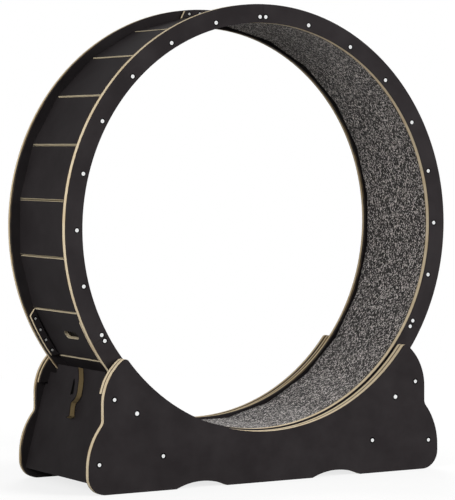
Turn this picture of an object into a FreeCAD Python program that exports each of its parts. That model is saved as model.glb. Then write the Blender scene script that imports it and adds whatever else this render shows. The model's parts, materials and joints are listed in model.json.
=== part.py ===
import FreeCAD, Part
import math
import os

# Cat exercise wheel: a three-piece pair of side rings joined by tread boards runs on four
# rollers between the two shaped panels of a floor stand. +X runs along the stand, +Y is the
# wheel's axis (the front is at -Y) and +Z is up. The origin is on the floor, midway between
# the panels and under the wheel's axis. All sizes are in millimetres.

V = FreeCAD.Vector

# Wheel
WHEEL_RADIUS = 500.0
WHEEL_WIDTH = 284.0            # over the outer faces of the two rings
RING_BAND = 42.0               # radial width of a ring board
RING_THICKNESS = 15.0
ARCS_PER_RING = 3
ARC_END_GAP = 0.3              # between two ring arcs at their butt joint
FIRST_JOINT_ANGLE = 90.0       # the first butt joint is at the top

TREAD_COUNT = 24
TREAD_INSET = 28.8             # wheel's rim to the middle of a tread board
TREAD_THICKNESS = 12.0
TREAD_EDGE_GAP = 0.3
LOCK_TREAD = 8                 # the board at the left joint, counted from the top
LOCK_SLOT_LENGTH = 60.0
LOCK_SLOT_WIDTH = 18.0

CARPET_THICKNESS = 3.0
CARPET_SIDE_GAP = 0.5
CARPET_SEAM_GAP = 1.0

JOINT_PLATE_THICKNESS = 9.0
JOINT_PLATE_HALF_ANGLE = 7.3
JOINT_PLATE_CHAMFER = 1.2      # degrees by which the outer edge is shorter at each end
JOINT_PLATE_CLEARANCE = 1.4    # to the corners of the tread boards
JOINT_PLATE_INSET = 2.0        # from the wheel's rim

# Stand
FLOOR_TO_RIM = 75.0            # floor to the lowest point of the wheel
STAND_THICKNESS = 15.0
RIM_THICKNESS = 12.0           # guide rim on the inner face of each stand panel
RIM_TO_WHEEL = 3.9             # side gap between a guide rim and its ring
RIM_INSET = 2.0                # guide rim's outer edge inside the wheel's rim
RIM_END_HEIGHT = 219.0         # square lower end of the guide rim's horns
CUTOUT_MARGIN = 3.0            # stand's round cut-out outside the ring's inner edge

BASE_INSET = 39.0              # widest part of the stand inside the wheel's rim
WAIST_INSET = 76.6             # waist of the stand inside the wheel's rim
HORN_LOBE_HEIGHT = 195.0
HORN_LOBE_RADIUS = 121.0
HORN_TIP_RADIUS = 10.0
FOOT_LOBE_HEIGHT = 55.0
FOOT_LOBE_RADIUS = 150.0
WAIST_FILLET = 20.0
FOOT_CORNER_RADIUS = 42.0
ARCH_CENTRE = 178.0            # shallow arches that leave three feet
ARCH_HALF_WIDTH = 65.0
ARCH_HEIGHT = 14.0

END_PANEL_THICKNESS = 12.0
END_SCREW_INSET = 26.0         # from the stand's waist and from its widest part
END_SCREW_TOP_HEIGHT = 206.4
END_SCREW_LOW_HEIGHT = 66.9
END_PANEL_FLOOR_GAP = 25.5
END_PANEL_TO_TREADS = 18.0
END_PANEL_TO_RING = 9.0
END_PANEL_NOTCH_GAP = 0.5      # around the guide rims
END_PANEL_TO_PLATES = 3.0      # side gap between its top tongue and the joint plates that pass it

BATTEN_SIZE = 30.0
BATTEN_CHAMFER = 3.0
BATTEN_X = 276.7
BATTEN_HEIGHT = 75.9

SCREW_HEAD_RADIUS = 4.8
SCREW_HEAD_DEPTH = 2.8
SCREW_SHANK_RADIUS = 2.4
SCREW_LENGTH = 46.0
SCREW_PROUD = 0.5              # head above the board's face

# Rollers and their axles
ROLLER_RADIUS = 27.0
ROLLER_WIDTH = 20.0
ROLLER_ANGLE = 49.63           # below the horizontal, on either side
ROLLING_GAP = 0.3
BEARING_RADIUS = 13.0
BEARING_WIDTH = 8.0
BEARING_RUNNING_CLEARANCE = 0.05
AXLE_RADIUS = 5.0
AXLE_FIT = 0.02                # radial, where the axle sits in a panel or a bearing
AXLE_PROUD = 0.5               # axle end beyond the panel's outer face

# Stopper on the left end panel, measured up the panel from its upper screws
STOPPER_SLOT_WIDTH = 50.0
STOPPER_SLOT_TOP = 30.0
STOPPER_SLOT_BOTTOM = -42.0
STOPPER_SLOT_CORNER = 6.0
STOPPER_TRAVEL = 36.0
STOPPER_SIDE_CLEARANCE = 0.5
STOPPER_FACE_CLEARANCE = 0.3
HANDLE_THICKNESS = 15.0
HANDLE_WIDTH = 16.0
HANDLE_PATH = [(4.5, 52.0), (20.0, 25.0), (26.0, -6.0), (8.5, -21.0), (8.5, -38.0), (15.0, -57.0)]
HANDLE_BENDS = [40.0, 9.5, 9.5, 40.0]
KEEPER_THICKNESS = 9.0
KEEPER_OVERLAP = 7.0           # beyond the slot on either side

# Values that follow from the ones above
AXLE_HEIGHT = WHEEL_RADIUS + FLOOR_TO_RIM
RING_INNER_RADIUS = WHEEL_RADIUS - RING_BAND
RING_INNER_FACE = WHEEL_WIDTH / 2 - RING_THICKNESS
TREAD_PITCH = 360.0 / TREAD_COUNT
TREAD_RADIUS = WHEEL_RADIUS - TREAD_INSET
TREAD_INNER = TREAD_RADIUS - TREAD_THICKNESS / 2
TREAD_OUTER = TREAD_RADIUS + TREAD_THICKNESS / 2
TREAD_LENGTH = 2 * RING_INNER_FACE
TREAD_WIDTH = 2 * TREAD_INNER * math.tan(math.radians(TREAD_PITCH / 2)) - TREAD_EDGE_GAP
TREAD_CORNER_RADIUS = math.hypot(TREAD_OUTER, TREAD_WIDTH / 2)
RIM_INNER_FACE = WHEEL_WIDTH / 2 + RIM_TO_WHEEL
STAND_INNER_FACE = RIM_INNER_FACE + RIM_THICKNESS
STAND_OUTER_FACE = STAND_INNER_FACE + STAND_THICKNESS
CUTOUT_RADIUS = RING_INNER_RADIUS + CUTOUT_MARGIN
BASE_HALF = WHEEL_RADIUS - BASE_INSET
WAIST_HALF = WHEEL_RADIUS - WAIST_INSET
ROLLER_CENTRE_RADIUS = WHEEL_RADIUS + ROLLING_GAP + ROLLER_RADIUS
ROLLER_Y = WHEEL_WIDTH / 2 - RING_THICKNESS / 2
SIDES = {"front": -1, "back": 1}
ENDS = {"left": -1, "right": 1}


def save(name, *solids):
    """Write one node: a single piece, or a group of identical ones."""
    shape = solids[0] if len(solids) == 1 else Part.makeCompound(list(solids))
    shape.exportStep(f"parts/{name}.step")


def polar(radius, angle, y=0.0):
    """Point at a radius and angle (0 towards +X, 90 up) about the wheel's axis."""
    turn = math.radians(angle)
    return V(radius * math.cos(turn), y, AXLE_HEIGHT + radius * math.sin(turn))


def line(start, end):
    return Part.LineSegment(start, end).toShape()


def arc_about(centre, start, end):
    """Arc under a half circle from start to end, about centre."""
    halfway = (start - centre) + (end - centre)
    middle = centre + halfway.normalize() * (start - centre).Length
    return Part.Arc(start, middle, end).toShape()


def board_from(edges, y_low, thickness):
    """Board cut to an outline in the XZ plane."""
    wire = Part.Wire(Part.__sortEdges__(edges))
    wire.translate(V(0, y_low, 0))
    return Part.Face(wire).extrude(V(0, thickness, 0))


def sector_edges(r_inner, r_outer, start, end, taper=0.0):
    """Outline of an arc-shaped board; taper shortens the outer edge at each end, in degrees."""
    middle = (start + end) / 2
    outer_start, outer_end = start + taper, end - taper
    return [
        Part.Arc(polar(r_outer, outer_start), polar(r_outer, middle), polar(r_outer, outer_end)).toShape(),
        line(polar(r_outer, outer_end), polar(r_inner, end)),
        Part.Arc(polar(r_inner, end), polar(r_inner, middle), polar(r_inner, start)).toShape(),
        line(polar(r_inner, start), polar(r_outer, outer_start)),
    ]


def tube(r_outer, r_inner, y_low, length, centre):
    """Sleeve about an axis along Y."""
    start = V(centre.x, y_low, centre.z)
    along = V(0, 1, 0)
    outside = Part.makeCylinder(r_outer, length, start, along)
    return outside.cut(Part.makeCylinder(r_inner, length, start, along))


def wood_screw(seat, direction):
    """Countersunk wood screw: a flat head on a straight shank."""
    head = Part.makeCone(SCREW_HEAD_RADIUS, SCREW_SHANK_RADIUS, SCREW_HEAD_DEPTH, seat, direction)
    root = seat + direction * SCREW_HEAD_DEPTH
    return head.fuse(Part.makeCylinder(SCREW_SHANK_RADIUS, SCREW_LENGTH - SCREW_HEAD_DEPTH, root, direction))


def meeting_point(centre_a, radius_a, centre_b, radius_b):
    """The higher of the two points where two circles in the XZ plane meet."""
    across = centre_b - centre_a
    gap = across.Length
    along = (radius_a**2 - radius_b**2 + gap**2) / (2 * gap)
    rise = math.sqrt(radius_a**2 - along**2)
    foot = centre_a + across * (along / gap)
    normal = V(-across.z, 0, across.x) * (rise / gap)
    return max(foot + normal, foot - normal, key=lambda point: point.z)


# ---------------------------------------------------------------- wheel


def joint_angles():
    return [FIRST_JOINT_ANGLE + 360.0 / ARCS_PER_RING * n for n in range(ARCS_PER_RING)]


def build_rings():
    """Each ring is three arc boards butted end to end at the joint treads."""
    arc_names = ["left", "bottom", "right"]
    half_gap = math.degrees(ARC_END_GAP / 2 / WHEEL_RADIUS)
    for side, sign in SIDES.items():
        y_low = sign * WHEEL_WIDTH / 2 - (RING_THICKNESS if sign > 0 else 0)
        for name, start in zip(arc_names, joint_angles()):
            end = start + 360.0 / ARCS_PER_RING
            outline = sector_edges(RING_INNER_RADIUS, WHEEL_RADIUS, start + half_gap, end - half_gap)
            save(f"{side}_ring_arc_{name}", board_from(outline, y_low, RING_THICKNESS))


def tread_board(angle, slotted):
    """Flat board across the wheel, made lying at angle 0 and then turned to its place."""
    board = Part.makeBox(
        TREAD_THICKNESS, TREAD_LENGTH, TREAD_WIDTH,
        V(TREAD_INNER, -TREAD_LENGTH / 2, -TREAD_WIDTH / 2),
    )
    if slotted:
        board = board.cut(lock_slot_cutter())
    board.rotate(V(0, 0, 0), V(0, 1, 0), -angle)
    board.translate(V(0, 0, AXLE_HEIGHT))
    return board


def lock_slot_cutter():
    """Round-ended slot through the tread board, long way across the wheel."""
    round_y = (LOCK_SLOT_LENGTH - LOCK_SLOT_WIDTH) / 2
    start = TREAD_INNER - 1
    depth = TREAD_THICKNESS + 2
    cutter = Part.makeBox(depth, 2 * round_y, LOCK_SLOT_WIDTH, V(start, -round_y, -LOCK_SLOT_WIDTH / 2))
    for y in (-round_y, round_y):
        cutter = cutter.fuse(Part.makeCylinder(LOCK_SLOT_WIDTH / 2, depth, V(start, y, 0), V(1, 0, 0)))
    return cutter


def tread_angle(index):
    return FIRST_JOINT_ANGLE + TREAD_PITCH * index


def build_treads():
    for index in range(TREAD_COUNT):
        slotted = index == LOCK_TREAD
        name = "lock_tread" if slotted else f"tread_{index + 1:02d}"
        save(name, tread_board(tread_angle(index), slotted))


def build_carpet():
    """Carpet strip glued to the inner faces of the treads, its two ends meeting at one seam."""
    length = TREAD_LENGTH - 2 * CARPET_SIDE_GAP
    corner_turn = TREAD_PITCH / 2
    prisms = []
    for apothem in (TREAD_INNER, TREAD_INNER - CARPET_THICKNESS):
        corner_radius = apothem / math.cos(math.radians(corner_turn))
        corners = [polar(corner_radius, tread_angle(n) + corner_turn) for n in range(TREAD_COUNT + 1)]
        edges = [line(a, b) for a, b in zip(corners, corners[1:])]
        prisms.append(board_from(edges, -length / 2, length))
    band = prisms[0].cut(prisms[1])
    seam_start = TREAD_INNER - 4 * CARPET_THICKNESS
    seam = Part.makeBox(
        8 * CARPET_THICKNESS, length + 2, CARPET_SEAM_GAP,
        V(seam_start, -length / 2 - 1, -CARPET_SEAM_GAP / 2),
    )
    seam.rotate(V(0, 0, 0), V(0, 1, 0), -tread_angle(LOCK_TREAD + 1))
    seam.translate(V(0, 0, AXLE_HEIGHT))
    save("carpet_lining", band.cut(seam))


def build_joint_plates():
    """Short arc plates across the butt joints, on the inner faces of the rings."""
    r_inner = TREAD_CORNER_RADIUS + JOINT_PLATE_CLEARANCE
    r_outer = WHEEL_RADIUS - JOINT_PLATE_INSET
    for side, sign in SIDES.items():
        y_low = sign * RING_INNER_FACE - (JOINT_PLATE_THICKNESS if sign > 0 else 0)
        plates = []
        for angle in joint_angles():
            outline = sector_edges(
                r_inner, r_outer, angle - JOINT_PLATE_HALF_ANGLE, angle + JOINT_PLATE_HALF_ANGLE,
                JOINT_PLATE_CHAMFER,
            )
            plates.append(board_from(outline, y_low, JOINT_PLATE_THICKNESS))
        save(f"{side}_joint_plates", *plates)


# ---------------------------------------------------------------- stand


def half_outline():
    """Right half of a stand panel's edge, from the cut-out over the horn and down to the floor."""
    axis = V(0, 0, AXLE_HEIGHT)
    horn = V(WAIST_HALF - HORN_LOBE_RADIUS, 0, HORN_LOBE_HEIGHT)
    foot = V(BASE_HALF - FOOT_LOBE_RADIUS, 0, FOOT_LOBE_HEIGHT)

    tip = meeting_point(axis, CUTOUT_RADIUS + HORN_TIP_RADIUS, horn, HORN_LOBE_RADIUS - HORN_TIP_RADIUS)
    tip_on_cutout = axis + (tip - axis) * (CUTOUT_RADIUS / (CUTOUT_RADIUS + HORN_TIP_RADIUS))
    tip_on_horn = horn + (tip - horn) * (HORN_LOBE_RADIUS / (HORN_LOBE_RADIUS - HORN_TIP_RADIUS))
    horn_side = V(WAIST_HALF, 0, HORN_LOBE_HEIGHT)

    reach = FOOT_LOBE_RADIUS + WAIST_FILLET
    waist_x = WAIST_HALF + WAIST_FILLET
    waist = V(waist_x, 0, foot.z + math.sqrt(reach**2 - (waist_x - foot.x) ** 2))
    waist_on_side = V(WAIST_HALF, 0, waist.z)
    waist_on_foot = foot + (waist - foot) * (FOOT_LOBE_RADIUS / reach)
    foot_side = V(BASE_HALF, 0, FOOT_LOBE_HEIGHT)

    corner = V(BASE_HALF - FOOT_CORNER_RADIUS, 0, FOOT_CORNER_RADIUS)
    corner_side = V(BASE_HALF, 0, FOOT_CORNER_RADIUS)
    corner_floor = V(corner.x, 0, 0)
    arch_outer = V(ARCH_CENTRE + ARCH_HALF_WIDTH, 0, 0)
    arch_top = V(ARCH_CENTRE, 0, ARCH_HEIGHT)
    arch_inner = V(ARCH_CENTRE - ARCH_HALF_WIDTH, 0, 0)
    edges = [
        arc_about(tip, tip_on_cutout, tip_on_horn),
        arc_about(horn, tip_on_horn, horn_side),
        line(horn_side, waist_on_side),
        arc_about(waist, waist_on_side, waist_on_foot),
        arc_about(foot, waist_on_foot, foot_side),
        line(foot_side, corner_side),
        arc_about(corner, corner_side, corner_floor),
        line(corner_floor, arch_outer),
        Part.Arc(arch_outer, arch_top, arch_inner).toShape(),
    ]
    return edges, tip_on_cutout, arch_inner


def mirrored(point):
    return V(-point.x, point.y, point.z)


def stand_profile(y_low, thickness):
    """A board with the stand's outline: two horns, the round cut-out and three feet."""
    edges, tip_on_cutout, arch_inner = half_outline()
    edges += [edge.mirror(V(0, 0, 0), V(1, 0, 0)) for edge in edges]
    edges.append(line(arch_inner, mirrored(arch_inner)))
    lowest = polar(CUTOUT_RADIUS, 270)
    edges.append(Part.Arc(tip_on_cutout, lowest, mirrored(tip_on_cutout)).toShape())
    return board_from(edges, y_low, thickness)


def stand_screw_places():
    """Centre of every screw on a stand panel, as (x, height): two into each end panel, one into each batten."""
    places = []
    for sign in ENDS.values():
        places += [
            (sign * (WAIST_HALF - END_SCREW_INSET), END_SCREW_TOP_HEIGHT),
            (sign * (BASE_HALF - END_SCREW_INSET), END_SCREW_LOW_HEIGHT),
            (sign * BATTEN_X, BATTEN_HEIGHT),
        ]
    return places


def build_stand_screws():
    """Screws driven through the panels into the edges of the end panels and the ends of the battens."""
    screws = [
        wood_screw(V(x, sign * (STAND_OUTER_FACE + SCREW_PROUD), z), V(0, -sign, 0))
        for sign in SIDES.values() for x, z in stand_screw_places()
    ]
    save("stand_screws", *screws)


def build_stand_panels():
    """Front and back panels, bored for the two roller axles."""
    for side, sign in SIDES.items():
        y_low = STAND_INNER_FACE if sign > 0 else -STAND_OUTER_FACE
        panel = stand_profile(y_low, STAND_THICKNESS)
        for end in ENDS:
            centre = axle_centre(end)
            mouth = V(centre.x, y_low, centre.z)
            panel = panel.cut(Part.makeCylinder(AXLE_RADIUS + AXLE_FIT, STAND_THICKNESS, mouth, V(0, 1, 0)))
        save(f"stand_{side}_panel", panel)


def build_guide_rims():
    """Crescent on each panel's inner face that keeps the ring from wandering sideways."""
    disc_radius = WHEEL_RADIUS - RIM_INSET
    for side, sign in SIDES.items():
        y_low = RIM_INNER_FACE if sign > 0 else -STAND_INNER_FACE
        band = Part.makeCylinder(disc_radius, RIM_THICKNESS, V(0, y_low, AXLE_HEIGHT), V(0, 1, 0))
        horns = Part.makeBox(
            2 * WHEEL_RADIUS, RIM_THICKNESS, WHEEL_RADIUS, V(-WHEEL_RADIUS, y_low, RIM_END_HEIGHT)
        )
        rim = stand_profile(y_low, RIM_THICKNESS).common(band.fuse(horns))
        save(f"{side}_guide_rim", rim)


class EndPanelFrame:
    """Local frame of the left end panel: u runs to the front, v up the slope, w outwards.

    Its zero is on the outer face at the upper screws, midway between the stand panels.
    """

    def __init__(self):
        top = V(-(WAIST_HALF - END_SCREW_INSET), 0, END_SCREW_TOP_HEIGHT)
        low = V(-(BASE_HALF - END_SCREW_INSET), 0, END_SCREW_LOW_HEIGHT)
        self.up = (top - low).normalize()
        self.out = V(-self.up.z, 0, self.up.x)
        self.zero = top + self.out * (END_PANEL_THICKNESS / 2)

    def place(self, shape):
        """Move a shape drawn in (u, v, w) to its place on the stand."""
        front = V(0, -1, 0)
        matrix = FreeCAD.Matrix(
            front.x, self.up.x, self.out.x, self.zero.x,
            front.y, self.up.y, self.out.y, self.zero.y,
            front.z, self.up.z, self.out.z, self.zero.z,
            0, 0, 0, 1,
        )
        shape.Placement = FreeCAD.Placement(matrix)
        return shape

    def v_at_height(self, height):
        return (height - self.zero.z) / self.up.z

    def v_at_wheel_radius(self, radius, w):
        """Where a line up the panel, at depth w, comes within radius of the wheel's axis."""
        start = self.zero + self.out * w - V(0, 0, AXLE_HEIGHT)
        along = start.dot(self.up)
        return -along - math.sqrt(along**2 - start.dot(start) + radius**2)


def end_panel_outline(frame):
    """Corners of an end panel in (u, v): full width low down, then stepped in past the rims and rings."""
    full = STAND_INNER_FACE
    between_rims = RIM_INNER_FACE - END_PANEL_NOTCH_GAP
    between_plates = RING_INNER_FACE - JOINT_PLATE_THICKNESS - END_PANEL_TO_PLATES
    face_drop = END_PANEL_THICKNESS * frame.up.x
    bottom = frame.v_at_height(END_PANEL_FLOOR_GAP)
    rim_step = frame.v_at_height(RIM_END_HEIGHT) - END_PANEL_NOTCH_GAP - face_drop
    ring_step = frame.v_at_wheel_radius(WHEEL_RADIUS + END_PANEL_TO_RING, -END_PANEL_THICKNESS)
    top = frame.v_at_wheel_radius(TREAD_CORNER_RADIUS + END_PANEL_TO_TREADS, 0)
    right = [
        (full, bottom), (full, rim_step), (between_rims, rim_step), (between_rims, ring_step),
        (between_plates, ring_step), (between_plates, top),
    ]
    return right + [(-u, v) for u, v in reversed(right)]


def prism(corners, w_low, thickness):
    """Straight-sided board in the end panel's frame."""
    points = [V(u, v, w_low) for u, v in corners]
    return Part.Face(Part.makePolygon(points + points[:1])).extrude(V(0, 0, thickness))


def stopper_slot():
    height = STOPPER_SLOT_TOP - STOPPER_SLOT_BOTTOM
    slot = Part.makeBox(
        STOPPER_SLOT_WIDTH, height, 3 * END_PANEL_THICKNESS,
        V(-STOPPER_SLOT_WIDTH / 2, STOPPER_SLOT_BOTTOM, -2 * END_PANEL_THICKNESS),
    )
    corners = [edge for edge in slot.Edges if abs(edge.tangentAt(edge.FirstParameter).z) > 0.5]
    return slot.makeFillet(STOPPER_SLOT_CORNER, corners)


def build_end_panels(frame):
    """Leaning boards that close the two ends of the stand; only the left one has the stopper's slot."""
    plain = prism(end_panel_outline(frame), -END_PANEL_THICKNESS, END_PANEL_THICKNESS)
    slotted = plain.cut(stopper_slot())
    save("end_panel_left", frame.place(slotted))
    right = frame.place(plain).mirror(V(0, 0, 0), V(1, 0, 0))
    save("end_panel_right", right)


def build_battens():
    """Square battens low down between the stand panels."""
    for end, sign in ENDS.items():
        batten = Part.makeBox(
            BATTEN_SIZE, 2 * STAND_INNER_FACE, BATTEN_SIZE,
            V(sign * BATTEN_X - BATTEN_SIZE / 2, -STAND_INNER_FACE, BATTEN_HEIGHT - BATTEN_SIZE / 2),
        )
        long_edges = [edge for edge in batten.Edges if edge.Length > BATTEN_SIZE * 2]
        save(f"cross_batten_{end}", batten.makeChamfer(BATTEN_CHAMFER, long_edges))


# ---------------------------------------------------------------- rollers


def axle_centre(end):
    return polar(ROLLER_CENTRE_RADIUS, 180 + ROLLER_ANGLE if end == "left" else -ROLLER_ANGLE)


def build_axles():
    """Bright steel rods driven right through both panels, so that their ends show outside."""
    reach = STAND_OUTER_FACE + AXLE_PROUD
    for end in ENDS:
        centre = axle_centre(end)
        rod = Part.makeCylinder(AXLE_RADIUS, 2 * reach, V(centre.x, -reach, centre.z), V(0, 1, 0))
        save(f"roller_axle_{end}", rod)


def build_rollers():
    """A rubber-tyred roller under each ring, on both sides, turning on a ball bearing on its axle."""
    bearings = []
    bearing_bore = AXLE_RADIUS + AXLE_FIT
    tyre_bore = BEARING_RADIUS + BEARING_RUNNING_CLEARANCE
    for end in ENDS:
        centre = axle_centre(end)
        for side, sign in SIDES.items():
            middle = sign * ROLLER_Y
            bearing = tube(BEARING_RADIUS, bearing_bore, middle - BEARING_WIDTH / 2, BEARING_WIDTH, centre)
            bearings.append(bearing)
            tyre = tube(ROLLER_RADIUS, tyre_bore, middle - ROLLER_WIDTH / 2, ROLLER_WIDTH, centre)
            save(f"roller_{side}_{end}", tyre)
    save("roller_bearings", *bearings)


# ---------------------------------------------------------------- stopper


def rounded_path(points, bends):
    """Path of straight runs with a tangent arc of its own radius at each inner point."""
    edges = []
    start = points[0]
    for before, corner, after, bend in zip(points, points[1:], points[2:], bends):
        inward = (before - corner).normalize()
        outward = (after - corner).normalize()
        half_turn = (math.pi - inward.getAngle(outward)) / 2
        setback = bend * math.tan(half_turn)
        arc_start, arc_end = corner + inward * setback, corner + outward * setback
        to_centre = (inward + outward).normalize() * (bend / math.cos(half_turn))
        edges.append(line(start, arc_start))
        edges.append(arc_about(corner + to_centre, arc_start, arc_end))
        start = arc_end
    edges.append(line(start, points[-1]))
    return Part.Wire(edges)


def stopper_handle():
    """S-shaped bar that stands proud of the end panel."""
    w_middle = STOPPER_FACE_CLEARANCE + HANDLE_THICKNESS / 2
    path = rounded_path([V(u, v, w_middle) for u, v in HANDLE_PATH], HANDLE_BENDS)
    start, following = (V(u, v, w_middle) for u, v in HANDLE_PATH[:2])
    along = (following - start).normalize()
    across = V(-along.y, along.x, 0) * (HANDLE_WIDTH / 2)
    deep = V(0, 0, HANDLE_THICKNESS / 2)
    corners = [start + across + deep, start - across + deep, start - across - deep, start + across - deep]
    section = Part.makePolygon(corners + corners[:1])
    return path.makePipeShell([section], True, False)


def build_stopper(frame):
    """Handle outside, slider in the slot and keeper inside, glued face to face."""
    slider_top = STOPPER_SLOT_TOP - STOPPER_TRAVEL
    slider_low = STOPPER_SLOT_BOTTOM + STOPPER_FACE_CLEARANCE
    slider_half = STOPPER_SLOT_WIDTH / 2 - STOPPER_SIDE_CLEARANCE
    slider_inner = -END_PANEL_THICKNESS - STOPPER_FACE_CLEARANCE
    slider = Part.makeBox(
        2 * slider_half, slider_top - slider_low, STOPPER_FACE_CLEARANCE - slider_inner,
        V(-slider_half, slider_low, slider_inner),
    )
    uprights = [edge for edge in slider.Edges if abs(edge.tangentAt(edge.FirstParameter).z) > 0.5]
    slider = slider.makeFillet(STOPPER_SLOT_CORNER, uprights)

    keeper_half = STOPPER_SLOT_WIDTH / 2 + KEEPER_OVERLAP
    keeper_corners = [
        (-keeper_half, slider_low), (keeper_half, slider_low), (keeper_half, slider_top), (-keeper_half, slider_top),
    ]
    keeper = prism(keeper_corners, slider_inner - KEEPER_THICKNESS, KEEPER_THICKNESS)

    save("stopper_handle", frame.place(stopper_handle()))
    save("stopper_slider", frame.place(slider))
    save("stopper_keeper", frame.place(keeper))


def main():
    os.makedirs("parts", exist_ok=True)
    build_rings()
    build_treads()
    build_carpet()
    build_joint_plates()
    build_stand_panels()
    build_guide_rims()
    frame = EndPanelFrame()
    build_end_panels(frame)
    build_battens()
    build_stand_screws()
    build_axles()
    build_rollers()
    build_stopper(frame)


main()
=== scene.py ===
"""Looks of the exercise wheel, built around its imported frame.

The frame is in metres: +X runs along the stand, +Y along the wheel's axis towards the back, +Z up.
Names that end in _mm are in millimetres, in _deg in degrees, in _px in the photograph's pixels and
in _share in shares of a whole. Other sizes are in metres.
"""

import json
import logging
import math
from dataclasses import dataclass
from enum import Enum
from typing import ClassVar, Iterable, Sequence

import bmesh
import bpy
import numpy as np
from mathutils import Matrix, Vector, noise


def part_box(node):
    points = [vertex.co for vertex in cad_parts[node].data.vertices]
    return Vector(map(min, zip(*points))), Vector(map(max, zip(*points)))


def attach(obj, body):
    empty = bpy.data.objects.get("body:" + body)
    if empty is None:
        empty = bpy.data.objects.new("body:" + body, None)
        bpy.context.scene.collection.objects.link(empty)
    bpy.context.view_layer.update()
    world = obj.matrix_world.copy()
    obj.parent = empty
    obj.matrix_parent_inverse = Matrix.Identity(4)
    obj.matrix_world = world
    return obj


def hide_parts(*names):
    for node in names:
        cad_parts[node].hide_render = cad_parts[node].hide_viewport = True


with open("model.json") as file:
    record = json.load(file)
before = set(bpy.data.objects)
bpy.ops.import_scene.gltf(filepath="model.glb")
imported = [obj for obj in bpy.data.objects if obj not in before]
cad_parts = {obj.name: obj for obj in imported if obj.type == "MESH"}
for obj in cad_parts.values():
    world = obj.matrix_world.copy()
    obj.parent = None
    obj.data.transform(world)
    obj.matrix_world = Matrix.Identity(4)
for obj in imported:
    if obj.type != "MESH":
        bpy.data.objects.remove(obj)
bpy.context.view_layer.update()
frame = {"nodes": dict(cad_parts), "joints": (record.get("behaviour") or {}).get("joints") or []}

LOG = logging.getLogger("exercise_wheel")
MM = 0.001
Y_AXIS = Vector((0, 1, 0))
WHEEL_MIDDLE = Vector((0, 0, 0.55))  # near enough to tell a board's inner face from its outer one
SAME_PLACE = 1e-6                  # corners closer than this are joined
SAME_PLANE_DEG = 0.2               # and so are faces that meet at less than this

Place = tuple[float, float, float]


class Body(str, Enum):
    """Bodies of the frame that pieces ride on."""

    STAND = "stand"
    WHEEL = "wheel"
    STOPPER = "stopper"


class Slot(str, Enum):
    """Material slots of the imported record."""

    LAMINATED_BOARD = "laminated_board"
    BARE_BOARD = "bare_board"
    PINE = "pine"
    CARPET = "carpet"
    PLATED_SCREWS = "plated_screws"
    BRIGHT_STEEL = "bright_steel"
    BEARING_STEEL = "bearing_steel"
    ROLLER_RUBBER = "roller_rubber"


class Side(Enum):
    """The two sides of the wheel, as the sign of Y."""

    FRONT = -1
    BACK = 1

    @property
    def word(self) -> str:
        """The side's name as the frame's nodes write it."""
        return self.name.lower()


# ---------------------------------------------------------------- colour and nodes


def linear(colour: str) -> tuple[float, float, float, float]:
    """Turns an sRGB hex colour to linear light.

    Args:
        colour: such as "#2d2b2c".

    Returns:
        Red, green, blue and an alpha of 1.
    """
    shares = [int(colour[i:i + 2], 16) / 255 for i in (1, 3, 5)]
    light = [c / 12.92 if c <= 0.04045 else ((c + 0.055) / 1.055) ** 2.4 for c in shares]
    return (*light, 1.0)


def per_metre(size_mm: float) -> float:
    """Texture scale at which one feature is size_mm across, in coordinates of metres."""
    return 1 / (size_mm * MM)


def add_node(
    tree: bpy.types.NodeTree, kind: str, inputs: dict | None = None,
    stops: dict[float, str] | None = None, **settings,
) -> bpy.types.Node:
    """Adds a node with its settings and links.

    Args:
        tree: the node tree of a material or world.
        kind: the node's type, such as "ShaderNodeTexNoise".
        inputs: each input's name or number, with a value or the output socket that feeds it.
        stops: each position on a colour ramp with its sRGB hex colour, in order.
        settings: the node's own attributes, such as operation="MULTIPLY".

    Returns:
        The new node.
    """
    node = tree.nodes.new(kind)
    for name, value in settings.items():
        setattr(node, name, value)
    for name, value in (inputs or {}).items():
        if isinstance(value, bpy.types.NodeSocket):
            tree.links.new(value, node.inputs[name])
        else:
            node.inputs[name].default_value = value
    if stops:
        elements = node.color_ramp.elements
        while len(elements) < len(stops):
            elements.new(1.0)
        for element, (position, colour) in zip(elements, stops.items()):
            element.position = position
            element.color = linear(colour)
    return node


def empty_material(name: str) -> tuple[bpy.types.Material, bpy.types.NodeTree]:
    """Makes a node material that has no node yet.

    Args:
        name: the material's name.

    Returns:
        The material and its node tree.
    """
    material = bpy.data.materials.new(name)
    material.use_nodes = True
    material.node_tree.nodes.clear()
    return material, material.node_tree


# ---------------------------------------------------------------- finishes


class Finish:
    """A procedural finish; each kind says what drives its shader."""

    name: str

    def inputs(self, tree: bpy.types.NodeTree) -> dict:
        """Adds the nodes of the pattern.

        Args:
            tree: the material's node tree.

        Returns:
            Each of the shader's inputs, with its value or the output socket that feeds it.
        """
        raise NotImplementedError

    def material(self) -> bpy.types.Material:
        """Builds the node material.

        Returns:
            The material, with one Principled shader on its output.
        """
        material, tree = empty_material(self.name)
        shader = add_node(tree, "ShaderNodeBsdfPrincipled", self.inputs(tree))
        add_node(tree, "ShaderNodeOutputMaterial", {"Surface": shader.outputs["BSDF"]})
        return material


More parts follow.
